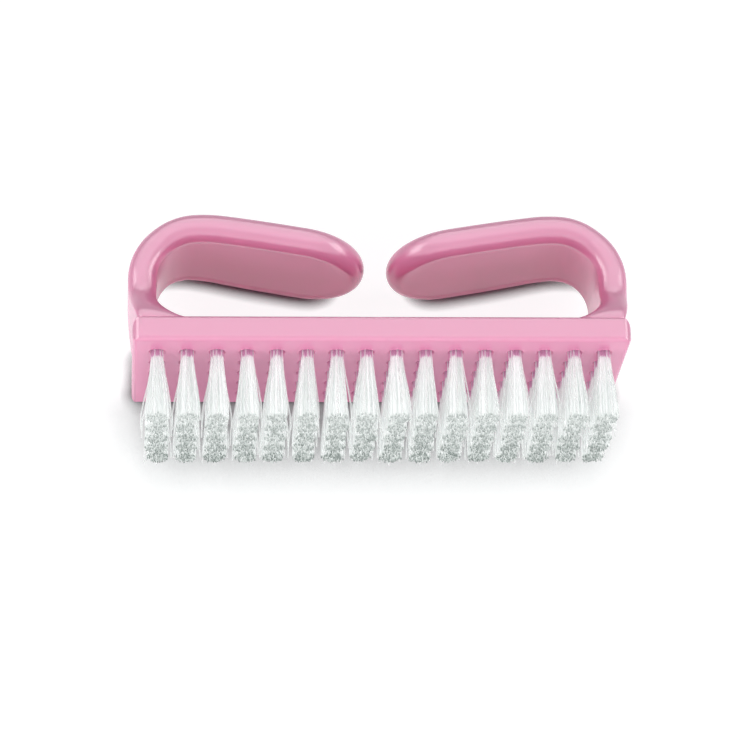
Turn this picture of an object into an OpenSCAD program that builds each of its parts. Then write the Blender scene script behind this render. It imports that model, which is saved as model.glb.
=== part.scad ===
// Nail brush: one moulded body with two curled arms, and rows of tufts that flat anchors hold.
// The brush is drawn along its own axes: length on X, thickness on Y with the arms at +Y
// and the bristles at -Y, and width on Z. lay() then sets it down on its long side.

/* [Block] */
// Length of the bristle block
block_l = 95; // [90:1:110]
// Width of the bristle block
block_w = 34; // [32:0.5:42]
// Thickness of the bristle block
block_t = 5; // [4.6:0.1:7]
// Rounding of the block's long edges
edge_r = 1; // [0.6:0.1:1.6]
// Rounding of the block's end edges on the handle side
end_r = 2.4; // [1:0.1:3]
// Rounding of the block's four corners, seen from the bristles
corner_r = 2; // [1:0.25:4]

/* [Handle arms] */
// Height of the arms above the block
arm_rise = 23.8; // [21:0.2:28]
// Thickness of an arm, which is also the diameter of its rounded rim
arm_t = 5.5; // [4.8:0.1:6.4]
// Width of an arm at its leg
leg_w = 21.4; // [20:0.2:24]
// Width of an arm at its free end, the finger paddle
paddle_w = 26.4; // [26.2:0.2:28.4]
// How far outside the bend's centre the arm starts to widen into the paddle
widen_from = 6.5; // [0:0.5:8]
// How soon the arm widens: a larger value brings most of it nearer the bend
widen_rate = 2.6; // [2:0.1:3.5]
// Length of the paddle's round end, from its widest place to its tip
tip_l = 12.1; // [10:0.1:14]
// Gap between the tips of the two paddles
tip_gap = 4.4; // [3:0.1:10]
// Outer radius of the bend between leg and paddle
bend_r = 12.9; // [12:0.1:14.5]
// Radius of the long arc that turns the paddle down towards the block
crown_r = 30.6; // [28:0.1:60]
// Slope of the paddle's free end, in degrees
paddle_slope = 9.8; // [6:0.1:12]
// Depth of the shallow dish in the finger side of a paddle
dish = 0.15; // [0.1:0.05:0.4]
// Width of the step round that dish
dish_step = 1.2; // [0.6:0.1:1.6]
// Fillet between the leg and the block on the finger side
root_r = 7; // [4:0.25:7.5]
// Height above the block up to which the leg is wider than its own width
flare_h = 9; // [6:0.5:12]
// How far the leg's broad sides stay inside the block's where they meet
flare_in = 0.5; // [0.4:0.1:2]
// How far the leg bulges past the end of the block
belly = 0.8; // [0.4:0.05:1]
// How far the leg draws in again at its root
waist = 1.8; // [0.4:0.05:2]

/* [Tufts] */
// Tufts along the length
tuft_cols = 16; // [8:1:16]
// Tufts across the width
tuft_rows = 5; // [3:1:5]
// From the end of the block to the middle of the first tuft
end_margin = 4.75; // [4.5:0.05:5]
// From the long side of the block to the middle of the first tuft
side_margin = 6.2; // [6:0.1:6.6]
// Diameter of a tuft hole
hole_d = 2.5; // [2.3:0.1:2.8]
// Depth of a tuft hole
hole_depth = 3.8; // [3.4:0.1:4]
// Length of the bristles outside the block
bristle_l = 13.8; // [11:0.2:18]
// Diameter of a tuft at its cut tips
tip_d = 4.3; // [3.4:0.1:4.6]
// Strands drawn in each tuft
strands = 6; // [5:1:6]

/* [Anchors] */
// Length of a flat wire anchor, which bites into both walls of its hole
anchor_l = 3; // [2.9:0.05:3.2]
// Height of an anchor, along the hole
anchor_h = 1.6; // [1.3:0.1:1.8]
// Thickness of an anchor's flat wire
anchor_t = 0.35; // [0.3:0.05:0.45]

/* [Fits] */
// Clearance between a tuft's root and its hole, all round
root_gap = 0.05; // [0.03:0.01:0.08]
// Clearance between an anchor and what it sits in
anchor_gap = 0.03; // [0.02:0.01:0.05]
// Gap between the strands of one tuft
strand_gap = 0.22; // [0.15:0.01:0.3]

/* [Hidden] */
// Overrun of every cut past the face it opens
over = 1;
// Depth to which the arms run into the block
sink = 1.6;
// Degrees from one station of an arm to the next round its bend
bend_step = 9;
// Degrees from one point to the next round an arm's rim and its root fillet
rim_step = 18;
// Stations along the crown arc, and as many along the straight of the paddle
run_steps = 3;
// Stations round the tip, closer together towards its end, where one would close the skin
tip_steps = 9;
// Floor between an anchor and the bottom of its hole
anchor_floor = 0.5;
// Smoothness of a tuft hole, and of the block's rounded corners
hole_fn = 14;
corner_fn = 48;

half_l = block_l / 2;
half_w = block_w / 2;
arm_h = arm_t / 2;
hole_r = hole_d / 2;
pitch_l = (block_l - 2 * end_margin) / (tuft_cols - 1);
pitch_w = (block_w - 2 * side_margin) / (tuft_rows - 1);
root_out = hole_r - root_gap;
anchor_y = hole_depth - anchor_floor - anchor_h;
// Height at which a leg ends and its bend starts
bend_y = block_t + arm_rise - bend_r;
// Middle line of an arm: leg, centre of the bend, end of the crown arc, centre of the tip
leg_x = half_l + belly - arm_h;
bend_x = half_l + belly - bend_r;
bend_c = bend_r - arm_h;
crown_x = bend_x - crown_r * sin(paddle_slope);
crown_y = bend_y + bend_c - crown_r * (1 - cos(paddle_slope));
tip_x = tip_gap / 2 + arm_h + (tip_l - arm_h) * cos(paddle_slope);
run_l = (crown_x - tip_x) / cos(paddle_slope);
tip_y = crown_y - run_l * sin(paddle_slope);
// The brush lies on the block's lower long edge and on both paddles, so it leans by the
// smallest angle of a line that touches the block's edge and a station's rim from below
lay_angle = min([for (i = [0 : run_steps]) lean_under(run_station(i / run_steps))]);
// Height of the block's lower long edge above the ground before the brush is lifted onto it
lay_drop = -(block_t - edge_r) * sin(lay_angle) + edge_r * cos(lay_angle) - edge_r;
// Front and back of the laid brush, at the tips of the lowest tufts and at the bends
front_z = side_margin - tip_d / 2;
front_y = -bristle_l * cos(lay_angle) + front_z * sin(lay_angle);
back_y = max([for (i = [0 : run_steps]) reach_back(crown_station(paddle_slope * i / run_steps))]);
lay_y = -(front_y + back_y) / 2;

BODY = "#E8A9C6";
NYLON = "#F4F6F5";
WIRE = "#C9CCCE";

// Names of the nodes, with two digits from 1
function numbered(name) = [for (i = [1 : tuft_cols]) str(name, i < 10 ? "_0" : "_", i)];
TUFTS = numbered("tuft_column");
ANCHORS = numbered("anchor_column");

// Share of the way from a to b, eased at both ends
function eased(a, b, at) = let (s = min(1, max(0, (at - a) / (b - a)))) s * s * (3 - 2 * s);

// How far a fillet of radius r stands out from its wall, at height up above its floor
function fillet(r, up) = up >= r ? 0 : r - sqrt(r * r - (r - max(0, up)) * (r - max(0, up)));

// Half width of an arm between its bend and its tip, which it reaches without a corner
function half_at(x) =
    let (s = min(1, max(0, (bend_x + widen_from - x) / (bend_x + widen_from - tip_x))))
    (leg_w + (paddle_w - leg_w) * (1 - pow(1 - s, widen_rate))) / 2;

// A station of an arm: [x, y, turn of the middle line, half width, share of the round end,
// half thickness outside, half thickness on the finger side, rounding of the rim, dish]
function leg_station(y) =
    let (draw = waist * pow((bend_y - y) / (bend_y - block_t), 2),
         flare = 1 - eased(0, flare_h, y - block_t))
    [leg_x, y, 0, leg_w / 2 + (half_w - flare_in - leg_w / 2) * flare, 0, arm_h - draw,
     arm_h + fillet(root_r, y - block_t), arm_h + (edge_r - arm_h) * flare, 0];
function bend_station(a) =
    let (x = bend_x + bend_c * cos(a))
    [x, bend_y + bend_c * sin(a), a, half_at(x), 0, arm_h, arm_h, arm_h, dish * eased(0, 90, a)];
function crown_station(a) =
    let (x = bend_x - crown_r * sin(a))
    [x, bend_y + bend_c - crown_r * (1 - cos(a)), 90 + a, half_at(x), 0, arm_h, arm_h, arm_h,
     dish];
function run_station(s) =
    let (x = crown_x - s * run_l * cos(paddle_slope))
    [x, crown_y - s * run_l * sin(paddle_slope), 90 + paddle_slope, half_at(x), 0,
     arm_h, arm_h, arm_h, dish];
function tip_station(a) =
    [tip_x, tip_y, 90 + paddle_slope, half_at(tip_x), sin(a), arm_h, arm_h, arm_h, dish];

function arm_stations() = concat(
    [for (y = [block_t - sink, block_t]) leg_station(y)],
    [for (a = [90 - rim_step : -rim_step : 0]) leg_station(block_t + root_r * (1 - sin(a)))],
    [for (a = [0 : bend_step : 90]) bend_station(a)],
    [for (i = [1 : run_steps]) crown_station(paddle_slope * i / run_steps)],
    [for (i = [1 : run_steps]) run_station(i / run_steps)],
    [for (i = [1 : tip_steps - 1]) tip_station(90 * sin(90 * i / tip_steps))]);

// Distances across the arm at which a ring has points round one rim, where its half width
// is half and its rounding is r, from the edge inwards
function rim_points(half, r) = [for (a = [0 : rim_step : 90]) half - min(r, half) * (1 - cos(a))];

// The rounded rim's share of the full thickness, at a distance inwards from the edge
function rim_share(inwards, r) =
    let (off = max(0, r - inwards) / r) sqrt(max(0, 1 - off * off));

// One closed ring of points round a station: its outside from one edge to the other, and back
// along the finger side, which has the dish's step between the two rims
function ring(st) =
    let (half = st[3], r = st[7], across = half * sqrt(1 - st[4] * st[4]),
         rim = rim_points(across, r), floor = max(0, across - r - dish_step),
         n = len(rim) - 1,
         outside = concat(rim, [for (i = [n : -1 : 0]) -rim[i]]),
         under = concat([for (i = [1 : n]) -rim[i]], [-floor, floor],
                        [for (i = [n : -1 : 1]) rim[i]]),
         out = [cos(st[2]), sin(st[2]), 0], on = [-sin(st[2]), cos(st[2]), 0],
         mid = [st[0], st[1], 0] + on * (tip_l * st[4]))
    concat([for (z = outside) let (in = half - norm([z, half * st[4]]))
                mid + [0, 0, z] + out * st[5] * rim_share(in, r)],
           [for (z = under) let (in = half - norm([z, half * st[4]]))
                mid + [0, 0, z]
                - out * (st[6] * rim_share(in, r) - st[8] * eased(r, r + dish_step, in))]);

// Lean of a line that touches the block's lower long edge and a station's rim from below
function lean_under(st) =
    let (y = st[1] - (block_t - edge_r), z = half_w - st[3] + arm_h - edge_r)
    atan2(z, y) - asin((arm_h - edge_r) / norm([y, z]));

// How far back a station's rim reaches once the brush leans
function reach_back(st) =
    st[1] * cos(lay_angle) + (half_w + st[3] - arm_h) * sin(lay_angle)
    + arm_h * norm([sin(st[2]) * cos(lay_angle), sin(lay_angle)]);

// A closed skin over rings of equal counts of points
module skin(rings) {
    n = len(rings[0]);
    last = len(rings) - 1;
    polyhedron(
        points = [for (r = rings) each r],
        faces = concat(
            [[for (i = [0 : n - 1]) i]],
            [for (j = [0 : last - 1], i = [0 : n - 1])
                let (k = (i + 1) % n) [j * n + k, j * n + i, (j + 1) * n + i, (j + 1) * n + k]],
            [[for (i = [n - 1 : -1 : 0]) last * n + i]]),
        convexity = 6);
}

// The arm at the right end, in the middle of the block's width
module arm() {
    translate([0, 0, half_w]) skin([for (st = arm_stations()) ring(st)]);
}

// A rectangle of x by y from the origin, with round corners: r0 at y = 0, r1 at the far side
module rounded(x, y, r0, r1) {
    difference() {
        square([x, y]);
        for (c = [[0, 0, r0], [1, 0, r0], [1, 1, r1], [0, 1, r1]])
            translate([c[0] * x, c[1] * y]) mirror([c[0], 0]) mirror([0, c[1]])
                difference() {
                    translate([-over, -over]) square(c[2] + over);
                    translate([c[2], c[2]]) circle(c[2], $fn = corner_fn);
                }
    }
}

// The block: the three views of a bar, each with its own rounding, cut with each other
module block() {
    intersection() {
        translate([-half_l, 0, 0]) linear_extrude(block_w) rounded(block_l, block_t, edge_r, end_r);
        translate([-half_l, block_t, 0]) rotate([90, 0, 0]) linear_extrude(block_t)
            rounded(block_l, block_w, corner_r, corner_r);
        translate([-half_l, block_t, 0]) rotate([90, 0, 90]) linear_extrude(block_l)
            mirror([1, 0]) rounded(block_t, block_w, edge_r, edge_r);
    }
}

// Puts a copy at each tuft hole of the columns from first to last, counted from 0
module at_holes(first, last) {
    for (c = [first : last], r = [0 : tuft_rows - 1])
        translate([end_margin - half_l + c * pitch_l, 0, side_margin + r * pitch_w]) children();
}

// A flat anchor with gap all round it: across the hole, near its bottom
module wire(gap) {
    translate([-anchor_l / 2 - gap, anchor_y - gap, -anchor_t / 2 - gap])
        cube([anchor_l + 2 * gap, anchor_h + 2 * gap, anchor_t + 2 * gap]);
}

// A blind tuft hole with the notches that its anchor cuts in both walls
module tuft_hole() {
    translate([0, -over, 0]) rotate([-90, 0, 0])
        cylinder(h = hole_depth + over, r = hole_r, $fn = hole_fn);
    wire(anchor_gap);
}

// A point at height y, r from a tuft's middle line and turned by a about it
function about(r, a, y) = [r * cos(a), y, r * sin(a)];

// One tuft: a root that fills its hole and folds round the anchor, and three-sided strands
// that part at the mouth of the hole and widen to their cut ends
module tuft() {
    sector = 360 / strands;
    inner = strand_gap / 2 / sin(sector / 2);
    side = sector / 2 - asin(strand_gap / tip_d);
    last = strands - 1;
    deep = [for (i = [0 : last]) about(root_out, i * sector, hole_depth - root_gap)];
    mouth = [for (i = [0 : last]) about(root_out, i * sector, 0)];
    ends = [for (i = [0 : last]) let (mid = (i + 0.5) * sector) each
        [about(inner, mid, -bristle_l), about(tip_d / 2, mid - side, -bristle_l),
         about(tip_d / 2, mid + side, -bristle_l)]];
    centre = 2 * strands;
    difference() {
        polyhedron(
            points = concat(deep, mouth, [[0, 0, 0]], ends),
            faces = concat(
                [[for (i = [0 : last]) i]],
                [for (i = [0 : last])
                    let (k = (i + 1) % strands, m = strands + i, n = strands + k,
                         e = centre + 1 + 3 * i)
                    each [[i, n, k], [i, m, n],
                          [m, e + 2, n], [m, e + 1, e + 2],
                          [centre, e + 1, m], [centre, e, e + 1],
                          [n, e, centre], [n, e + 2, e],
                          [e, e + 2, e + 1]]]),
            convexity = 8);
        wire(anchor_gap);
    }
}

// Lays the brush on its side, with its box in the middle of X and Y and its lowest point at 0
module lay() {
    translate([0, lay_y, -lay_drop]) rotate([-lay_angle, 0, 0]) children();
}

module body() {
    color(BODY) lay() difference() {
        union() {
            block();
            arm();
            mirror([1, 0, 0]) arm();
        }
        at_holes(0, tuft_cols - 1) tuft_hole();
    }
}

module tuft_column(i) {
    color(NYLON) lay() at_holes(i, i) tuft();
}

module anchor_column(i) {
    color(WIRE) lay() at_holes(i, i) wire(0);
}

body();
for (i = [0 : tuft_cols - 1]) {
    tuft_column(i);
    anchor_column(i);
}
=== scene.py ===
# %% [markdown]
# # A moulded nail brush, dressed in Blender
# The CAD model comes in as a fixed frame, in metres: one moulded body, sixteen columns of
# bristle tufts and the flat wire anchors that hold them. This script keeps every piece where
# the CAD has it and gives it the surface of the real thing: smooth moulded plastic, thousands
# of nylon filaments and the soft light of a product picture.

# %% Load the frame
import math

import bmesh
import bpy
import numpy as np
from mathutils import Matrix, Vector


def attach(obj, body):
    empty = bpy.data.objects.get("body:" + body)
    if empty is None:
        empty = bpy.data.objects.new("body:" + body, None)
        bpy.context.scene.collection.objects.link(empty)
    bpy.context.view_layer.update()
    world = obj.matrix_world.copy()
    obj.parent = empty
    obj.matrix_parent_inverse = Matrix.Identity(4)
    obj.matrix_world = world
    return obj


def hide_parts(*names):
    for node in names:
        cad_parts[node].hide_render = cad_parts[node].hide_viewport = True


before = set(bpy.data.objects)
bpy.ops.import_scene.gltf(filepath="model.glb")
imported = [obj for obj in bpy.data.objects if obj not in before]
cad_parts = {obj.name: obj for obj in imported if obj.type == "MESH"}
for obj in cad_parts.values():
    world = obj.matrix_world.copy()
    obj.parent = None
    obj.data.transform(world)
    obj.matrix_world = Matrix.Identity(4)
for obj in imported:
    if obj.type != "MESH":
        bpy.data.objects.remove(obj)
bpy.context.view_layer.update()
print("CAD nodes:", len(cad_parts))

# %% [markdown]
# ## Sizes of the brush
# The brush has its own axes: X along its length, Y through its thickness (the arms at +Y, the
# bristles at -Y) and Z across its width. The CAD model draws it along these and then lays it
# on its long side, where it leans a little, because the arms are narrower than the block. The
# sizes are the ones of the CAD model, so that each new surface falls on the solid one.

# %% Sizes in millimetres
MM = 0.001
block_l, block_w, block_t = 95.0, 34.0, 5.0
edge_r, end_r, corner_r = 1.0, 2.4, 2.0
arm_rise, arm_t, leg_w, paddle_w = 23.8, 5.5, 21.4, 26.4
widen_from, widen_rate, tip_l, tip_gap = 6.5, 2.6, 12.1, 4.4
bend_r, crown_r, paddle_slope = 12.9, 30.6, math.radians(9.8)
dish, dish_step = 0.15, 1.2
root_r, flare_h, flare_in, belly, waist = 7.0, 9.0, 0.5, 0.8, 1.8
tuft_cols, tuft_rows, end_margin, side_margin = 16, 5, 4.75, 6.2
hole_d, hole_depth, bristle_l, tip_d = 2.5, 3.8, 13.8, 4.3

half_l, half_w, arm_h = block_l / 2, block_w / 2, arm_t / 2
pitch_l = (block_l - 2 * end_margin) / (tuft_cols - 1)
pitch_w = (block_w - 2 * side_margin) / (tuft_rows - 1)
print(f"tuft pitch {pitch_l:.2f} by {pitch_w:.2f} mm")

# %% Middle line of an arm: leg, bend, crown and the straight run to the tip
bend_y = block_t + arm_rise - bend_r
leg_x = half_l + belly - arm_h
bend_x, bend_c = half_l + belly - bend_r, bend_r - arm_h
crown_x = bend_x - crown_r * math.sin(paddle_slope)
crown_y = bend_y + bend_c - crown_r * (1 - math.cos(paddle_slope))
tip_x = tip_gap / 2 + arm_h + (tip_l - arm_h) * math.cos(paddle_slope)
run_l = (crown_x - tip_x) / math.cos(paddle_slope)
tip_y = crown_y - run_l * math.sin(paddle_slope)
print(f"an arm's straight run is {run_l:.1f} mm long")


# %% The way the brush lies
def half_at(x):
    """Half width of an arm between its bend and its tip."""
    s = min(1, max(0, (bend_x + widen_from - x) / (bend_x + widen_from - tip_x)))
    return (leg_w + (paddle_w - leg_w) * (1 - (1 - s) ** widen_rate)) / 2


def lean_under(s):
    """Lean of a line under the block's lower edge and an arm's rim, at share s of its run."""
    y = crown_y - s * run_l * math.sin(paddle_slope) - (block_t - edge_r)
    z = half_w - half_at(crown_x - s * run_l * math.cos(paddle_slope)) + arm_h - edge_r
    return math.atan2(z, y) - math.asin((arm_h - edge_r) / math.hypot(y, z))


def reach_back(a):
    """How far back the leaning arm reaches, at angle a of its crown."""
    return ((bend_y + bend_c - crown_r * (1 - math.cos(a))) * math.cos(lean)
            + (half_w + half_at(bend_x - crown_r * math.sin(a)) - arm_h) * math.sin(lean)
            + arm_h * math.hypot(math.cos(a) * math.cos(lean), math.sin(lean)))


lean = min(lean_under(s) for s in np.linspace(0, 1, 4))
drop = -(block_t - edge_r) * math.sin(lean) + edge_r * math.cos(lean) - edge_r
front = -bristle_l * math.cos(lean) + (side_margin - tip_d / 2) * math.sin(lean)
back = max(reach_back(a) for a in np.linspace(0, paddle_slope, 4))
LAY = (Matrix.Translation((0, -(front + back) / 2 * MM, -drop * MM))
       @ Matrix.Rotation(-lean, 4, "X") @ Matrix.Scale(MM, 4))
print(f"the brush leans {math.degrees(lean):.2f} degrees")

# %% [markdown]
# ## Camera
# The picture is taken from above and a little from the left, with a long lens. The view was
# worked out along the brush's own axes: how far the camera is turned and raised, how far away
# it stands, and where the middle of the bristle face falls in the 740 by 740 picture. The
# same matrix that lays the brush down then carries the camera into the scene.

# %% Camera
PICTURE, SENSOR = 740, 36
view_turn, view_rise, view_roll = map(math.radians, (-11.12, 68.31, 10.46))
focal_px, distance, place_px = 3539.0, 701.46, (371.62, 403.49)


def placed(name, data):
    """Makes an object of some data and links it into the scene."""
    made = bpy.data.objects.new(name, data)
    bpy.context.scene.collection.objects.link(made)
    return made


towards = Vector((math.sin(view_turn) * math.cos(view_rise),
                  -math.cos(view_turn) * math.cos(view_rise), math.sin(view_rise)))
level = Vector((math.cos(view_turn), math.sin(view_turn), 0))
upright = towards.cross(level)
right = level * math.cos(view_roll) + upright * math.sin(view_roll)
up = upright * math.cos(view_roll) - level * math.sin(view_roll)
eye = (towards * distance
       - right * (place_px[0] - PICTURE / 2) * distance / focal_px
       - up * (PICTURE / 2 - place_px[1]) * distance / focal_px)

camera = placed("camera", bpy.data.cameras.new("camera"))
camera.data.sensor_width = SENSOR
camera.data.lens = SENSOR * focal_px / PICTURE
camera.data.clip_start, camera.data.clip_end = 0.05, 20
turn = LAY.to_3x3() @ Matrix((right, up, towards)).transposed() * (1 / MM)
camera.matrix_world = Matrix.Translation(LAY @ eye) @ turn.to_4x4()
bpy.context.scene.camera = camera
print(f"lens {camera.data.lens:.1f} mm, camera at", [round(c, 3) for c in camera.location])

# %% [markdown]
# ## Colours and nodes
# A colour is written as the sRGB hex value one would pick from a picture. Blender's shaders
# work in linear light, so one function turns it round. A second small function adds a node,
# sets its properties and fills or links its inputs, for shaders and Geometry Nodes alike. A
# third starts an empty material.

# %% Three helpers
MATH, MIX, RANGE = "ShaderNodeMath", "ShaderNodeMix", "ShaderNodeMapRange"


def linear(hex_colour):
    shares = [int(hex_colour[i:i + 2], 16) / 255 for i in (1, 3, 5)]
    return [s / 12.92 if s <= 0.04045 else ((s + 0.055) / 1.055) ** 2.4 for s in shares] + [1.0]


def add(tree, kind, inputs=(), **settings):
    """Adds a node. Inputs go by name or in order, and a node among them links its first output."""
    node = tree.nodes.new(kind)
    for name, value in settings.items():
        setattr(node, name, value)
    for key, value in inputs.items() if isinstance(inputs, dict) else enumerate(inputs):
        if isinstance(value, bpy.types.Node):
            value = value.outputs[0]
        if isinstance(value, bpy.types.NodeSocket):
            tree.links.new(value, node.inputs[key])
        else:
            node.inputs[key].default_value = value
    return node


def new_material(name):
    made = bpy.data.materials.new(name)
    made.use_nodes = True
    made.node_tree.nodes.clear()
    return made, made.node_tree


print("plain grey is", [round(c, 3) for c in linear("#808080")])

# %% [markdown]
# ## The sheet
# The brush lies on a large sheet of matt white paper, which takes its real shadow. Emission that
# the camera sees, and reflections and clear pieces too, lifts the paper to the pure white of a
# product picture. Ambient occlusion, which measures how shut in a spot is, takes that white
# away close under the brush, a painted contact shadow, and, in a strip in front of it that is
# chosen by place, a painted shade of the tufts.

# %% Paper
SHEET_GLOW, SHEET_HALF = 0.88, 1.5
CLOSE, TUFT_SHADE = 3 * MM, 12 * MM
FRONT_FROM, FRONT_FULL = -7 * MM, -12 * MM

floor_paper, tree = new_material("white_paper_sweep")


def open_air(distance, shut, free):
    """0 where things nearer than a distance shut a spot of the sheet in, and 1 where none do."""
    near = add(tree, "ShaderNodeAmbientOcclusion", {"Distance": distance}, samples=8)
    return add(tree, RANGE, {"Value": near.outputs["AO"], "From Min": shut, "From Max": free})


# Painted contact shadow: the white lift fades where the brush comes closer than CLOSE
touch = open_air(CLOSE, shut=0.5, free=1.0)
at = add(tree, "ShaderNodeTexCoord")
place = add(tree, "ShaderNodeSeparateXYZ", {"Vector": at.outputs["Object"]})
# Painted shade of the tufts: a mask by place on Y keeps it to the sheet in front of the bristles
in_front = add(tree, RANGE, {"Value": place.outputs["Y"], "From Min": FRONT_FROM,
                             "From Max": FRONT_FULL})
shade = add(tree, MIX, {"Factor": in_front, "A": 1.0,
                        "B": open_air(TUFT_SHADE, shut=0.3, free=0.97)})
path = add(tree, "ShaderNodeLightPath").outputs
seen = add(tree, MATH, (path["Is Camera Ray"], path["Is Glossy Ray"]), operation="MAXIMUM")
seen = add(tree, MATH, (seen, path["Is Transmission Ray"]), operation="MAXIMUM")
lift = add(tree, MATH, (SHEET_GLOW, seen), operation="MULTIPLY")
kept_white = add(tree, MATH, (touch, shade), operation="MULTIPLY")
lift = add(tree, MATH, (lift, kept_white), operation="MULTIPLY")

# Seen, the paper itself is grey, because the lift adds the rest; the light that it throws
# back on the brush is that of white paper
paper = add(tree, MIX, {"Factor": seen, "A": linear("#F4F5F5"), "B": linear("#868A8A")},
            data_type="RGBA")
matt = add(tree, "ShaderNodeBsdfDiffuse", {"Color": paper.outputs["Result"]})
glow = add(tree, "ShaderNodeEmission", {"Color": (1, 1, 1, 1), "Strength": lift})
both = add(tree, "ShaderNodeAddShader", (matt, glow))
add(tree, "ShaderNodeOutputMaterial", {"Surface": both})
print("paper:", len(tree.nodes), "nodes")


# %% The sheet itself
def drawn(name, shape):
    """Turns a bmesh into an object of the scene."""
    made = placed(name, bpy.data.meshes.new(name))
    shape.to_mesh(made.data)
    shape.free()
    return made


shape = bmesh.new()
bmesh.ops.create_grid(shape, x_segments=1, y_segments=1, size=SHEET_HALF)
floor = drawn("floor", shape)
floor.data.materials.append(floor_paper)
print("sheet:", round(floor.dimensions.x, 2), "m wide")

# %% [markdown]
# ## Light
# The brush stands in a white tent. What falls on it as plain light is even, and dimmer
# overhead, where the camera looks in. What the gloss mirrors is brighter, and brightest behind,
# where a real tent has its large lit wall. Where the camera sees the tent itself, it is plain
# white. Four large cards of light stand round it: two in front, which the gloss doesn't show,
# and one at each side.

# %% World
AROUND, OVERHEAD = 0.33, 0.05
MIRRORED, MIRRORED_BACK = 2.8, 4.7
ABOVE, BEHIND = (0.0, 0.225, 0.974), (0.0, 0.69, 0.72)

world = bpy.data.worlds.new("white_tent")
bpy.context.scene.world = world
world.use_nodes = True
tree = world.node_tree
tree.nodes.clear()
path = add(tree, "ShaderNodeLightPath").outputs
at = add(tree, "ShaderNodeTexCoord")


def soft_box(direction, edge, full, low, high):
    """A light level that changes from low to high towards a direction of the sky."""
    near = add(tree, "ShaderNodeVectorMath", (at.outputs["Generated"], direction),
               operation="DOT_PRODUCT")
    return add(tree, RANGE, {"Value": near.outputs["Value"], "From Min": edge, "From Max": full,
                             "To Min": low, "To Max": high}, interpolation_type="SMOOTHSTEP")


light = add(tree, MIX, {"Factor": path["Is Glossy Ray"],
                        "A": soft_box(ABOVE, 0.70, 0.88, AROUND, OVERHEAD),
                        "B": soft_box(BEHIND, 0.55, 0.90, MIRRORED, MIRRORED_BACK)})
seen = add(tree, MATH, (path["Is Camera Ray"], path["Is Transmission Ray"]), operation="MAXIMUM")
strength = add(tree, MIX, {"Factor": seen, "A": light, "B": 1.0})
tent = add(tree, "ShaderNodeBackground", {"Color": (1, 1, 1, 1), "Strength": strength})
add(tree, "ShaderNodeOutputWorld", {"Surface": tent})
print("tent:", len(tree.nodes), "nodes")

# %% Lamps
# Places and sizes in metres. All cards face the middle of the brush
AIM = Vector((0, 0, 0.015))


def soft_lamp(name, place, size, watts, mirrored=True):
    lamp = placed(name, bpy.data.lights.new(name, "AREA"))
    lamp.data.shape = "RECTANGLE"
    lamp.data.size, lamp.data.size_y = size
    lamp.data.energy = watts
    lamp.location = place
    lamp.rotation_euler = (AIM - lamp.location).to_track_quat("-Z", "Y").to_euler()
    lamp.visible_glossy = mirrored


soft_lamp("front_card", (-0.05, -0.62, 0.28), (0.6, 0.3), 1.8, mirrored=False)
soft_lamp("high_card", (0.0, -0.45, 0.50), (0.5, 0.3), 0.9, mirrored=False)
soft_lamp("left_card", (-0.6, 0.12, 0.3), (0.5, 0.3), 1.8)
soft_lamp("right_card", (0.6, 0.12, 0.3), (0.5, 0.3), 1.8)
bpy.context.scene.view_settings.view_transform = "Standard"
print("lamps:", [lamp.name for lamp in bpy.data.lights])

# %% [markdown]
# ## Moulded plastic
# The body is polypropylene, injection moulded in a polished steel tool and coloured right
# through. To the eye it is a soft, slightly waxy gloss: highlights have wide edges, light
# sinks a little way in, and a faint unevenness from cooling runs under the shine.

# %% Body plastic
# The tint clouds over about 14 mm, where the melt wasn't mixed quite evenly. The skin's orange
# peel is about 1.6 mm wide and breaks the edges of the highlights up a little
CLOUDING, ORANGE_PEEL = 14 * MM, 1.6 * MM

body_plastic, tree = new_material("moulded_polypropylene")
at = add(tree, "ShaderNodeTexCoord").outputs["Object"]
cloud = add(tree, "ShaderNodeTexNoise", {"Vector": at, "Scale": 1 / CLOUDING, "Detail": 2.0})
tint = add(tree, MIX, {"Factor": cloud.outputs["Fac"], "A": linear("#E690B5"),
                       "B": linear("#E894B9")}, data_type="RGBA")
peel = add(tree, "ShaderNodeTexNoise", {"Vector": at, "Scale": 1 / ORANGE_PEEL, "Detail": 3.0})
gloss = add(tree, RANGE, {"Value": peel.outputs["Fac"], "To Min": 0.18, "To Max": 0.25})
bump = add(tree, "ShaderNodeBump", {"Height": peel.outputs["Fac"], "Strength": 0.06,
                                    "Distance": 0.05 * MM})
skin = add(tree, "ShaderNodeBsdfPrincipled", {
    "Base Color": tint.outputs["Result"], "Roughness": gloss, "IOR": 1.49,
    "Specular IOR Level": 0.8, "Normal": bump, "Subsurface Weight": 0.12,
    "Subsurface Scale": 1.2 * MM, "Subsurface Radius": (1.0, 0.45, 0.6)})
add(tree, "ShaderNodeOutputMaterial", {"Surface": skin})
print("body plastic:", len(tree.nodes), "nodes")

# %% [markdown]
# ## The arms
# Each arm is a flat strap that leaves the block, bends through a quarter turn and runs back
# over the fingers to a round paddle. Its rim is fully rounded, so it is lofted: at each
# station along its middle line stands one closed ring of points, wide and flat in the middle
# and half-round at both rims. Where the strap meets the block, the rings swell into fillets.
# It is the rule of the CAD model, with more stations and more points on each ring.

# %% Stations along the arm
# A station is x, y, facing angle, half width, share of the round tip, thickness outwards and
# inwards of the middle line, rim radius and depth of the dish
SUNK = 1.6  # how deep the arm's root stands in the block
quarter = math.pi / 2


def eased(a, b, at):
    s = min(1, max(0, (at - a) / (b - a)))
    return s * s * (3 - 2 * s)


def fillet(r, above):
    return 0 if above >= r else r - math.sqrt(r * r - (r - max(0, above)) ** 2)


def leg_station(y):
    draw = waist * ((bend_y - y) / (bend_y - block_t)) ** 2
    flare = 1 - eased(0, flare_h, y - block_t)
    return (leg_x, y, 0, leg_w / 2 + (half_w - flare_in - leg_w / 2) * flare, 0, arm_h - draw,
            arm_h + fillet(root_r, y - block_t), arm_h + (edge_r - arm_h) * flare, 0)


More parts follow.
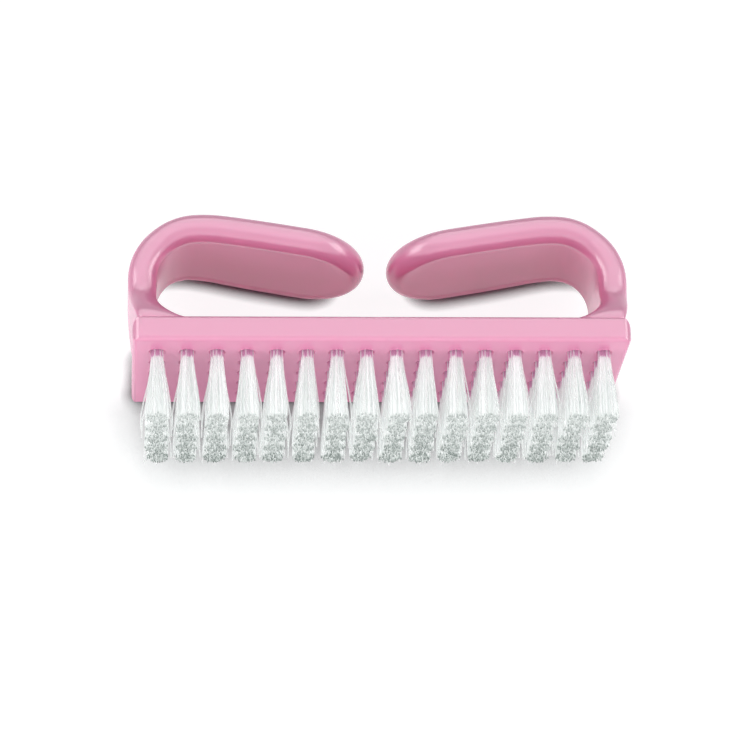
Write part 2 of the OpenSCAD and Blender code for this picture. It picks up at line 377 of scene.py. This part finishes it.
def bend_station(a):
    x = bend_x + bend_c * math.cos(a)
    return (x, bend_y + bend_c * math.sin(a), a, half_at(x), 0, arm_h, arm_h, arm_h,
            dish * eased(0, quarter, a))


def crown_station(a):
    x = bend_x - crown_r * math.sin(a)
    return (x, bend_y + bend_c - crown_r * (1 - math.cos(a)), quarter + a, half_at(x), 0,
            arm_h, arm_h, arm_h, dish)


def run_station(s):
    x = crown_x - s * run_l * math.cos(paddle_slope)
    return (x, crown_y - s * run_l * math.sin(paddle_slope), quarter + paddle_slope, half_at(x),
            0, arm_h, arm_h, arm_h, dish)


def tip_station(a):
    return (tip_x, tip_y, quarter + paddle_slope, half_at(tip_x), math.sin(a),
            arm_h, arm_h, arm_h, dish)


stations = (
    [leg_station(block_t - SUNK)]
    + [leg_station(block_t + root_r * (1 - math.sin(a))) for a in np.linspace(quarter, 0, 18)]
    + [leg_station(y) for y in np.linspace(block_t + root_r, bend_y, 6)[1:-1]]
    + [bend_station(a) for a in np.linspace(0, quarter, 28)]
    + [crown_station(a) for a in np.linspace(0, paddle_slope, 9)[1:]]
    + [run_station(s) for s in np.linspace(0, 1, 9)[1:]]
    + [tip_station(quarter * math.sin(quarter * s)) for s in np.linspace(0, 1, 27)[1:-1]])
print(len(stations), "stations on an arm")

# %% Rings round the middle line
RIM_STEPS, DISH_STEPS, FLAT_POINTS = 10, 5, 6


def ring(station):
    x, y, angle, half, end, outer, inner, r, hollow = station
    across = half * math.sqrt(1 - end * end)
    rim = [across - min(r, across) * (1 - math.cos(a))
           for a in np.linspace(0, quarter, RIM_STEPS + 1)]
    step = [max(0, across - r - dish_step * k / DISH_STEPS) for k in range(1, DISH_STEPS + 1)]
    flat = list(np.linspace(rim[-1], -rim[-1], FLAT_POINTS))[1:-1]
    dished = list(np.linspace(-step[-1], step[-1], FLAT_POINTS))[1:-1]
    outside = rim + flat + [-z for z in reversed(rim)]
    under = ([-z for z in rim[1:]] + [-z for z in step] + dished
             + list(reversed(step)) + list(reversed(rim[1:])))
    out = Vector((math.cos(angle), math.sin(angle), 0))
    centre = Vector((x, y, half_w)) + Vector((-math.sin(angle), math.cos(angle), 0)) * tip_l * end

    def inwards(z):
        return half - math.hypot(z, half * end)

    def thick(z):
        off = max(0, r - inwards(z)) / r
        return math.sqrt(max(0, 1 - off * off))

    def dished_at(z):
        return inner * thick(z) - hollow * eased(r, r + dish_step, inwards(z))

    top = [centre + Vector((0, 0, z)) + out * outer * thick(z) for z in outside]
    low = [centre + Vector((0, 0, z)) - out * dished_at(z) for z in under]
    return top + low


rings = [ring(s) for s in stations]
print(len(rings[0]), "points on each ring")

# %% The skin over the rings
SAME_POINT = 0.002


def lofted(name, rings):
    shape = bmesh.new()
    rows = [[shape.verts.new(p) for p in r] for r in rings]
    count = len(rows[0])
    for lower, upper in zip(rows, rows[1:]):
        for i in range(count):
            k = (i + 1) % count
            shape.faces.new((lower[k], lower[i], upper[i], upper[k]))
    shape.faces.new(rows[0])
    shape.faces.new(list(reversed(rows[-1])))
    bmesh.ops.remove_doubles(shape, verts=shape.verts, dist=SAME_POINT)
    bmesh.ops.recalc_face_normals(shape, faces=shape.faces)
    return drawn(name, shape)


arm_right = lofted("arm_right", rings)
arm_left = lofted("arm_left", [[Vector((-p.x, p.y, p.z)) for p in r] for r in rings])
print("arm:", len(arm_right.data.polygons), "faces")

# %% [markdown]
# ## The block
# The block is a bar with three kinds of rounding: small on its long edges, larger on its ends
# towards the handle, and round corners seen from the bristles. Three extruded outlines, one
# for each view, are cut with each other, as a maker would cut the bar from three sides.

# %% Outlines and solids
CORNER_STEPS = 12


def outline(x, y, radii):
    """A rectangle from the origin with one radius for each corner, counted anticlockwise."""
    points = []
    corners = ((0, 0, 1, 1), (x, 0, -1, 1), (x, y, -1, -1), (0, y, 1, -1))
    for n, (cx, cy, sx, sy) in enumerate(corners):
        r = radii[n]
        for a in np.linspace(0, quarter, CORNER_STEPS + 1):
            b = math.pi + n * quarter + a
            points.append((cx + sx * r + r * math.cos(b), cy + sy * r + r * math.sin(b)))
    return points


def extruded(name, points, depth, place):
    """Extrudes an outline and puts each of its points by place(u, v, w)."""
    shape = bmesh.new()
    low = [shape.verts.new(place(u, v, 0)) for u, v in points]
    high = [shape.verts.new(place(u, v, depth)) for u, v in points]
    for i in range(len(points)):
        k = (i + 1) % len(points)
        shape.faces.new((low[i], low[k], high[k], high[i]))
    shape.faces.new(low)
    shape.faces.new(high)
    bmesh.ops.recalc_face_normals(shape, faces=shape.faces)
    return drawn(name, shape)


def baked(target):
    """Replaces an object's mesh by what its modifiers make of it."""
    evaluated = target.evaluated_get(bpy.context.evaluated_depsgraph_get())
    mesh = bpy.data.meshes.new_from_object(evaluated)
    target.modifiers.clear()
    target.data = mesh
    return target


def cut(target, tool, operation):
    modifier = target.modifiers.new(operation.lower(), "BOOLEAN")
    modifier.object, modifier.operation, modifier.solver = tool, operation, "EXACT"
    baked(target)
    bpy.data.objects.remove(tool)


# %% Cut the block and join the arms
OVERRUN = 1

body = extruded("moulded_body", outline(block_l, block_t, (edge_r, edge_r, end_r, end_r)), block_w,
                lambda u, v, w: (u - half_l, v, w))
plan = extruded("plan", outline(block_l, block_w, (corner_r,) * 4), block_t + 2 * OVERRUN,
                lambda u, v, w: (u - half_l, w - OVERRUN, v))
end_view = extruded("end_view", outline(block_t, block_w, (edge_r,) * 4), block_l + 2 * OVERRUN,
                    lambda u, v, w: (w - half_l - OVERRUN, u, v))
cut(body, plan, "INTERSECT")
cut(body, end_view, "INTERSECT")
cut(body, arm_right, "UNION")
cut(body, arm_left, "UNION")
print("body before its holes:", len(body.data.polygons), "faces")

# %% [markdown]
# ## The tuft holes
# Eighty blind holes stand in a grid. Anything that repeats is a job for Geometry Nodes: the
# tree takes the grid's sizes, makes one shape and sets a copy at each point. The same grid
# carries the little lips that the tufting machine pushes up round each hole, the countersinks
# inside them and the drills.

# %% A grid of copies
def new_tree(name, sockets):
    """Starts a Geometry Nodes tree with named inputs and returns it and its inputs' sockets."""
    tree = bpy.data.node_groups.new(name, "GeometryNodeTree")
    face = tree.interface
    face.new_socket("Geometry", in_out="OUTPUT", socket_type="NodeSocketGeometry")
    for label, kind in sockets:
        face.new_socket(label, in_out="INPUT", socket_type="NodeSocket" + kind)
    return tree, add(tree, "NodeGroupInput").outputs


def grid_tree(name, build):
    """A tree that sets what build(tree, given) returns at each tuft hole, in brush axes."""
    tree, given = new_tree(name, (
        ("Columns", "Int"), ("Rows", "Int"), ("Column pitch", "Float"), ("Row pitch", "Float"),
        ("Middle", "Vector"), ("Radius", "Float"), ("Depth", "Float"), ("Finish", "Material")))
    size = []
    for number, pitch in (("Columns", "Column pitch"), ("Rows", "Row pitch")):
        spaces = add(tree, MATH, (given[number], 1.0), operation="SUBTRACT")
        size.append(add(tree, MATH, (spaces, given[pitch]), operation="MULTIPLY"))
    grid = add(tree, "GeometryNodeMeshGrid", {
        "Size X": size[0], "Size Y": size[1], "Vertices X": given["Columns"],
        "Vertices Y": given["Rows"]})
    stood = add(tree, "GeometryNodeTransform", {
        "Geometry": grid, "Translation": given["Middle"], "Rotation": (quarter, 0, 0)})
    copies = add(tree, "GeometryNodeInstanceOnPoints", {
        "Points": stood, "Instance": build(tree, given)})
    whole = add(tree, "GeometryNodeRealizeInstances", {"Geometry": copies})
    dressed = add(tree, "GeometryNodeSetMaterial", {"Geometry": whole,
                                                    "Material": given["Finish"]})
    add(tree, "NodeGroupOutput", {"Geometry": dressed})
    return tree


def grown(name, tree, values):
    """Runs a tree with named values on an empty mesh and keeps the result as a plain mesh."""
    made = placed(name, bpy.data.meshes.new(name))
    modifier = made.modifiers.new(name, "NODES")
    modifier.node_group = tree
    for item in tree.interface.items_tree:
        if item.in_out == "INPUT" and item.name in values:
            modifier[item.identifier] = values[item.name]
    return baked(made)


GRID = {"Columns": tuft_cols, "Rows": tuft_rows, "Column pitch": pitch_l, "Row pitch": pitch_w,
        "Middle": (0.0, 0.0, half_w)}
print("holes:", tuft_cols * tuft_rows)

# %% Lip, countersink and drill of one hole
# Radii inside and outside the block's face, and how far the cone reaches out and in, in mm. The
# lip's foot is wide and under the face, so that the lip leaves the face at a shallow angle
HOLE_SIDES = 28
LIP = {"inner": 3.0, "outer": 1.65, "outside": 0.16, "inside": 0.35}
COUNTERSINK = {"inner": 1.1, "outer": 1.75, "outside": 0.3, "inside": 0.4}


def turned_cone(tree, inner, outer, outside, inside):
    """A cone along a hole: radius outer at Y = -outside, radius inner at Y = inside."""
    cone = add(tree, "GeometryNodeMeshCone", {"Vertices": HOLE_SIDES, "Radius Top": outer,
                                              "Radius Bottom": inner, "Depth": outside + inside})
    return add(tree, "GeometryNodeTransform", {"Geometry": cone, "Translation": (0, inside, 0),
                                               "Rotation": (quarter, 0, 0)})


def lip(tree, given):
    return turned_cone(tree, **LIP)


def countersink(tree, given):
    return turned_cone(tree, **COUNTERSINK)


def drill(tree, given):
    """A rod that reaches as far out of the face as into it."""
    depth = add(tree, MATH, (given["Depth"], 2.0), operation="MULTIPLY")
    rod = add(tree, "GeometryNodeMeshCylinder", {"Vertices": HOLE_SIDES,
                                                 "Radius": given["Radius"], "Depth": depth})
    return add(tree, "GeometryNodeTransform", {"Geometry": rod, "Rotation": (quarter, 0, 0)})


for build, operation in ((lip, "UNION"), (countersink, "DIFFERENCE"), (drill, "DIFFERENCE")):
    name = build.__name__ + "s"
    shapes = grown(name, grid_tree(name, build), {
        **GRID, "Radius": hole_d / 2, "Depth": hole_depth, "Finish": body_plastic})
    reach = [v.co[1] for v in shapes.data.vertices]
    print(name, "from Y =", round(min(reach), 2), "to", round(max(reach), 2))
    cut(body, shapes, operation)
body.data.transform(LAY)
print("body with its holes:", len(body.data.polygons), "faces")

# %% Finish the body
SHARP_FROM, FLAT_WEIGHT = math.radians(32), 60

body.data.materials.clear()
body.data.materials.append(body_plastic)
for face in body.data.polygons:
    face.material_index = 0
body.data.shade_smooth()
body.data.set_sharp_from_angle(angle=SHARP_FROM)
weighted = body.modifiers.new("flat_faces_stay_flat", "WEIGHTED_NORMAL")
weighted.keep_sharp = True
weighted.weight = FLAT_WEIGHT
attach(body, "root")
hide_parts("body")
print("body placed as", body.name)

# %% [markdown]
# ## Bristles
# A tuft is a bundle of nylon filaments, folded in half in its hole, so that some ninety ends
# stand out. They leave the hole side by side, spread, and are sheared off level. One filament
# is a thin four-sided rod with a few joints along it. It is set at every filament's place,
# made real, and only then bent: each joint moves from its place at the mouth of the hole to
# its place at the cut, which is the same sunflower pattern drawn larger. Real filaments are
# about 0.2 mm thick. These are 0.28 mm, so that they still show in the picture.

# %% Nylon
# Natural nylon is milky: light goes in and comes out again along the filament, so a tuft looks
# white from within; a little emission is added as a painted glow for that light. Its root is
# painted with the pink light that the block throws into it, and its last half millimetre is
# painted greyer, a painted shade that is deeper in the lower rows
PAINTED_GLOW, NYLON_IOR = 0.16, 1.53
PINK_LIGHT_TO, WHITE_FROM = 0.17, 0.21
TIP_SHADE_FROM, TIP_SHADE_FULL = 0.965, 0.99

nylon, tree = new_material("natural_nylon_filament")
along = add(tree, "ShaderNodeAttribute", attribute_name="along").outputs["Fac"]
shade = add(tree, "ShaderNodeAttribute", attribute_name="shade").outputs["Fac"]
height = add(tree, "ShaderNodeAttribute", attribute_name="height").outputs["Fac"]
tone = add(tree, MIX, {"Factor": shade, "A": linear("#E9ECEB"), "B": linear("#F9FAFA")},
           data_type="RGBA")
# Painted pink light from the block on about the first fifth of each filament, with a ragged edge
ragged = add(tree, MATH, (shade, 0.03, along), operation="MULTIPLY_ADD")
near = add(tree, RANGE, {"Value": ragged, "From Min": PINK_LIGHT_TO, "From Max": WHITE_FROM},
           interpolation_type="SMOOTHSTEP")
tint = add(tree, MIX, {"Factor": near, "A": linear("#DDB2CE"), "B": tone.outputs["Result"]},
           data_type="RGBA")
# Painted shade: the last half millimetre turns grey, full in the lowest row and half as strong in
# the top one
grey = add(tree, MIX, {"Factor": shade, "A": linear("#929D99"), "B": linear("#E4E8E6")},
           data_type="RGBA")
last = add(tree, RANGE, {"Value": along, "From Min": TIP_SHADE_FROM, "From Max": TIP_SHADE_FULL},
           interpolation_type="SMOOTHSTEP")
fainter = add(tree, RANGE, {"Value": height, "To Min": 1.0, "To Max": 0.5})
last = add(tree, MATH, (last, fainter), operation="MULTIPLY")
tint = add(tree, MIX, {"Factor": last, "A": tint.outputs["Result"],
                       "B": grey.outputs["Result"]}, data_type="RGBA").outputs["Result"]
fibre = add(tree, "ShaderNodeBsdfPrincipled", {"Base Color": tint, "Roughness": 0.35,
                                               "IOR": NYLON_IOR})
inside = add(tree, "ShaderNodeBsdfTranslucent", {"Color": tint})
halves = add(tree, "ShaderNodeMixShader", (0.4, fibre, inside))
# Emission is a painted glow for the light that the milky nylon carries
painted_glow_node = add(tree, "ShaderNodeEmission", {"Color": tint, "Strength": PAINTED_GLOW})
both = add(tree, "ShaderNodeAddShader", (halves, painted_glow_node))
add(tree, "ShaderNodeOutputMaterial", {"Surface": both})
print("nylon:", len(tree.nodes), "nodes")

# %% Clear nylon
# The few filaments that stand on the outside of a tuft are clearer: against the sheet the eye
# sees through them and only catches their gleam; they get the same painted glow as the rest
clear_nylon, tree = new_material("clear_nylon_filament")
gleam = add(tree, "ShaderNodeBsdfPrincipled", {
    "Base Color": linear("#FDFEFE"), "Roughness": 0.2, "IOR": NYLON_IOR,
    "Emission Color": (1, 1, 1, 1), "Emission Strength": PAINTED_GLOW})
through = add(tree, "ShaderNodeBsdfTransparent", {"Color": linear("#F6F8F7")})
veil = add(tree, "ShaderNodeMixShader", (0.55, gleam, through))
add(tree, "ShaderNodeOutputMaterial", {"Surface": veil})
print("clear nylon:", len(tree.nodes), "nodes")

# %% Sheared ends
# A sheared end is torn rather than polished, and one looks down into the filament. The ends
# give the eye the dark and light specks by which it counts the filaments. Those of the upper
# rows get a little emission, painted light from above that is stronger the higher the row
cut_nylon, tree = new_material("sheared_nylon_ends")
shade = add(tree, "ShaderNodeAttribute", attribute_name="shade").outputs["Fac"]
speck = add(tree, "ShaderNodeValToRGB", {"Fac": shade})
speck.color_ramp.elements[0].color = linear("#232927")
speck.color_ramp.elements[1].color = linear("#C4CBC8")
speck.color_ramp.elements.new(0.3).color = linear("#6E7674")
speck.color_ramp.elements.new(0.6).color = linear("#99A19E")
height = add(tree, "ShaderNodeAttribute", attribute_name="height").outputs["Fac"]
# Painted light: the ends' emission grows from nothing in the lowest row to 0.2 in the top one
lit = add(tree, RANGE, {"Value": height, "To Min": 0.0, "To Max": 0.2})
ends = add(tree, "ShaderNodeBsdfPrincipled", {
    "Base Color": speck, "Roughness": 0.6, "IOR": NYLON_IOR,
    "Emission Color": linear("#E6ECE9"), "Emission Strength": lit})
add(tree, "ShaderNodeOutputMaterial", {"Surface": ends})
print("sheared ends:", len(tree.nodes), "nodes")

# %% One filament
STORE, STORED = "GeometryNodeStoreNamedAttribute", "GeometryNodeInputNamedAttribute"
SPLIT, JOIN = "ShaderNodeSeparateXYZ", "ShaderNodeCombineXYZ"


def filament(tree):
    """A rod of unit length and radius; its points remember where they sit along and round it."""
    rod = add(tree, "GeometryNodeMeshCylinder", {"Vertices": 4, "Side Segments": 5,
                                                 "Radius": 1.0, "Depth": 1.0})
    spot = add(tree, SPLIT, {"Vector": add(tree, "GeometryNodeInputPosition")}).outputs
    along = add(tree, MATH, (spot["Z"], 0.5), operation="ADD")
    rod = add(tree, STORE, {"Geometry": rod, "Name": "along", "Value": along})
    around = add(tree, JOIN, (spot["X"], 0.0, spot["Y"]))
    rod = add(tree, STORE, {"Geometry": rod, "Name": "round", "Value": around},
              data_type="FLOAT_VECTOR")
    facing = add(tree, SPLIT, {"Vector": add(tree, "GeometryNodeInputNormal")})
    is_end = add(tree, MATH, (facing.outputs["Z"], 0.9), operation="GREATER_THAN")
    return add(tree, STORE, {"Geometry": rod, "Name": "end", "Value": is_end}, domain="FACE")


# %% Where each filament stands
# A tuft leans by up to so many mm each way and its spread differs a little from the next one's.
# A filament strays more the further out it stands, the clear ones stand out by a further share
# of the spread, and the cut is a little uneven
GOLDEN_ANGLE, FULL_TURN = 2.39996, 6.28
LEAN_ALONG, LEAN_ACROSS, STRAY_INSIDE = 0.28, 0.2, 0.35
TUFT_SPREAD, CLEAR_OUT, UNEVEN_CUT = (0.95, 1.05), (0.05, 0.45), (-0.22, 0.1)


def chance(tree, seed, low, high, number, salt):
    """A random number for each number; the salt makes one draw differ from the others."""
    spot = add(tree, MATH, (number, 13.0, salt), operation="MULTIPLY_ADD")
    return add(tree, "FunctionNodeRandomValue", {"Min": low, "Max": high, "ID": spot,
                                                 "Seed": seed}).outputs[1]


def numbered(tree, given):
    """Each filament's index in the column, the row of its tuft and its number in the tuft."""
    index = add(tree, "GeometryNodeInputIndex")
    middle = add(tree, MATH, (index, 0.5), operation="ADD")
    row = add(tree, MATH, (middle, given["Filaments"]), operation="DIVIDE")
    row = add(tree, MATH, (row,), operation="FLOOR")
    before = add(tree, MATH, (row, given["Filaments"]), operation="MULTIPLY")
    return index, row, add(tree, MATH, (index, before), operation="SUBTRACT")


def standing(tree, given):
    """One point for each filament, which knows where it leaves its hole and where it is cut."""
    seed = given["Seed"]
    count = add(tree, MATH, (given["Rows"], given["Filaments"]), operation="MULTIPLY")
    line = add(tree, "GeometryNodeMeshLine", {"Count": count})
    index, row, number = numbered(tree, given)

    # The sunflower pattern: how far out and which way
    middle = add(tree, MATH, (number, 0.5), operation="ADD")
    out = add(tree, MATH, (middle, given["Filaments"]), operation="DIVIDE")
    out = add(tree, MATH, (out,), operation="SQRT")
    angle = add(tree, MATH, (number, GOLDEN_ANGLE), operation="MULTIPLY")
    angle = add(tree, MATH, (angle, chance(tree, seed, 0.0, FULL_TURN, row, 1)), operation="ADD")
    way = add(tree, JOIN, (add(tree, MATH, (angle,), operation="COSINE"), 0.0,
                           add(tree, MATH, (angle,), operation="SINE")))
    up = add(tree, MATH, (row, given["Row pitch"]), operation="MULTIPLY")
    up = add(tree, MATH, (given["First row"], up), operation="ADD")
    centre = add(tree, JOIN, (given["Column"], 0.0, up))

    # The mouth of the hole
    radius = add(tree, MATH, (out, given["Mouth radius"]), operation="MULTIPLY")
    mouth = add(tree, "ShaderNodeVectorMath", {0: way, "Scale": radius}, operation="SCALE")
    mouth = add(tree, "ShaderNodeVectorMath", (centre, mouth), operation="ADD")
    line = add(tree, STORE, {"Geometry": line, "Name": "mouth", "Value": mouth},
               data_type="FLOAT_VECTOR")

    # The cut; the last ones of each tuft are the clear ones
    core = add(tree, MATH, (given["Filaments"], given["Clear ones"]), operation="SUBTRACT")
    core = add(tree, MATH, (core, 0.5), operation="SUBTRACT")
    is_clear = add(tree, MATH, (number, core), operation="GREATER_THAN")
    fan = add(tree, MATH, (is_clear, chance(tree, seed, *CLEAR_OUT, index, 9),
                           chance(tree, seed, *TUFT_SPREAD, row, 2)), operation="MULTIPLY_ADD")
    fan = add(tree, MATH, (out, fan), operation="MULTIPLY")
    reach = add(tree, JOIN, (given["Tip radius along"], 0.0, given["Tip radius across"]))
    reach = add(tree, "ShaderNodeVectorMath", {0: reach, "Scale": fan}, operation="SCALE")
    reach = add(tree, "ShaderNodeVectorMath", (reach, way), operation="MULTIPLY")
    loose = add(tree, MATH, (STRAY_INSIDE, out), operation="ADD")
    loose = add(tree, MATH, (loose, given["Splay"]), operation="MULTIPLY")
    stray = add(tree, JOIN, (chance(tree, seed, -1.0, 1.0, index, 5), 0.0,
                             chance(tree, seed, -1.0, 1.0, index, 6)))
    stray = add(tree, "ShaderNodeVectorMath", {0: stray, "Scale": loose}, operation="SCALE")
    leaning = add(tree, JOIN, (chance(tree, seed, -LEAN_ALONG, LEAN_ALONG, row, 3), 0.0,
                               chance(tree, seed, -LEAN_ACROSS, LEAN_ACROSS, row, 4)))
    tip = add(tree, "ShaderNodeVectorMath", (centre, leaning), operation="ADD")
    off = add(tree, "ShaderNodeVectorMath", (reach, stray), operation="ADD")
    tip = add(tree, "ShaderNodeVectorMath", (tip, off), operation="ADD")
    line = add(tree, STORE, {"Geometry": line, "Name": "tip", "Value": tip},
               data_type="FLOAT_VECTOR")

    # What the bending and the materials need
    rows = add(tree, MATH, (given["Rows"], 1.0), operation="SUBTRACT")
    for name, value in (("clear", is_clear),
                        ("uneven", chance(tree, seed, *UNEVEN_CUT, index, 7)),
                        ("shade", chance(tree, seed, 0.0, 1.0, index, 8)),
                        ("height", add(tree, MATH, (row, rows), operation="DIVIDE"))):
        line = add(tree, STORE, {"Geometry": line, "Name": name, "Value": value})
    return line


# %% Bend the filaments
SPREAD_FROM, SPREAD_TO = 0.04, 0.9
CLEAR_THICKER = 0.2


def bent(tree, given, whole):
    """Moves each joint: the spread starts slowly at the mouth and ends before the cut."""
    clear, uneven, along = (add(tree, STORED, {"Name": n}) for n in ("clear", "uneven", "along"))
    mouth, tip, around = (add(tree, STORED, {"Name": n}, data_type="FLOAT_VECTOR").outputs[0]
                          for n in ("mouth", "tip", "round"))
    run = add(tree, MATH, (given["Length"], uneven), operation="ADD")
    length = add(tree, MATH, (run, given["Root depth"]), operation="ADD")
    passed = add(tree, MATH, (along, length), operation="MULTIPLY")
    height = add(tree, MATH, (given["Root depth"], passed), operation="SUBTRACT")
    below = add(tree, MATH, (height, -1.0), operation="MULTIPLY")
    below = add(tree, MATH, (below, 0.0), operation="MAXIMUM")
    share = add(tree, MATH, (below, run), operation="DIVIDE")
    spread = add(tree, RANGE, {"Value": share, "From Min": SPREAD_FROM, "From Max": SPREAD_TO},
                 interpolation_type="SMOOTHSTEP")
    place = add(tree, MIX, {"Factor": spread, "A": mouth, "B": tip}, data_type="VECTOR")
    radius = add(tree, MATH, (clear, CLEAR_THICKER, 1.0), operation="MULTIPLY_ADD")
    radius = add(tree, MATH, (given["Filament radius"], radius), operation="MULTIPLY")
    thick = add(tree, "ShaderNodeVectorMath", {0: around, "Scale": radius}, operation="SCALE")
    moved = add(tree, "ShaderNodeVectorMath", (place.outputs[1], thick), operation="ADD")
    moved = add(tree, "ShaderNodeVectorMath", (moved, add(tree, JOIN, (0.0, height, 0.0))),
                operation="ADD")
    return add(tree, "GeometryNodeSetPosition", {"Geometry": whole, "Position": moved})


# %% The bristle tree
def bristle_tree():
    tree, given = new_tree("bristle_column", (
        ("Rows", "Int"), ("Row pitch", "Float"), ("Column", "Float"), ("First row", "Float"),
        ("Filaments", "Int"), ("Clear ones", "Int"), ("Mouth radius", "Float"),
        ("Tip radius along", "Float"), ("Tip radius across", "Float"), ("Length", "Float"),
        ("Root depth", "Float"), ("Filament radius", "Float"), ("Splay", "Float"),
        ("Seed", "Int"), ("Nylon", "Material"), ("Cut nylon", "Material"),
        ("Clear nylon", "Material")))
    copies = add(tree, "GeometryNodeInstanceOnPoints", {"Points": standing(tree, given),
                                                        "Instance": filament(tree)})
    whole = add(tree, "GeometryNodeRealizeInstances", {"Geometry": copies})
    dressed = add(tree, "GeometryNodeSetMaterial", {"Geometry": bent(tree, given, whole),
                                                    "Material": given["Nylon"]})
    for mark, finish in (("end", "Cut nylon"), ("clear", "Clear nylon")):
        marked = add(tree, MATH, (add(tree, STORED, {"Name": mark}), 0.5),
                     operation="GREATER_THAN")
        dressed = add(tree, "GeometryNodeSetMaterial", {
            "Geometry": dressed, "Selection": marked, "Material": given[finish]})
    add(tree, "NodeGroupOutput", {"Geometry": dressed})
    return tree


bristles = bristle_tree()
print("bristle tree:", len(bristles.nodes), "nodes")

# %% Grow the sixteen columns
FILAMENTS, CLEAR_ONES, FILAMENT_R = 96, 6, 0.14
ROOT_DEPTH, SPLAY = 1.4, 0.17
DRAWN_IN, FANNED_OUT = 0.05, 0.6

total = 0
for n in range(tuft_cols):
    column = grown(f"bristles_{n + 1:02d}", bristles, {
        "Rows": tuft_rows, "Row pitch": pitch_w, "Column": (n - (tuft_cols - 1) / 2) * pitch_l,
        "First row": side_margin, "Filaments": FILAMENTS, "Clear ones": CLEAR_ONES,
        "Mouth radius": hole_d / 2 - FILAMENT_R, "Tip radius along": tip_d / 2 - DRAWN_IN,
        "Tip radius across": tip_d / 2 + FANNED_OUT, "Length": bristle_l,
        "Root depth": ROOT_DEPTH, "Filament radius": FILAMENT_R, "Splay": SPLAY, "Seed": n,
        "Nylon": nylon, "Cut nylon": cut_nylon, "Clear nylon": clear_nylon})
    column.data.transform(LAY)
    column.data.shade_smooth()
    total += len(column.data.polygons)
    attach(column, "root")
    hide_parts(f"tuft_column_{n + 1:02d}")
print("bristle faces in all:", total)

# %% [markdown]
# ## Anchors
# The flat wire anchors sit at the bottom of the holes, where nobody sees them. The CAD pieces
# are right as they are and only get the look of drawn wire: plain unpainted steel, whose shine
# the drawing die has left a little uneven.

# %% Anchor wire
DIE_MARKS = 0.3 * MM

anchor_wire, tree = new_material("drawn_flat_wire")
at = add(tree, "ShaderNodeTexCoord")
marks = add(tree, "ShaderNodeTexNoise", {"Vector": at.outputs["Object"], "Scale": 1 / DIE_MARKS})
dull = add(tree, RANGE, {"Value": marks.outputs["Fac"], "To Min": 0.3, "To Max": 0.45})
metal = add(tree, "ShaderNodeBsdfPrincipled", {"Base Color": linear("#C9CCCE"), "Metallic": 1.0,
                                               "Roughness": dull})
add(tree, "ShaderNodeOutputMaterial", {"Surface": metal})
for name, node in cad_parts.items():
    if name.startswith("anchor"):
        for place in node.material_slots:
            place.material = anchor_wire
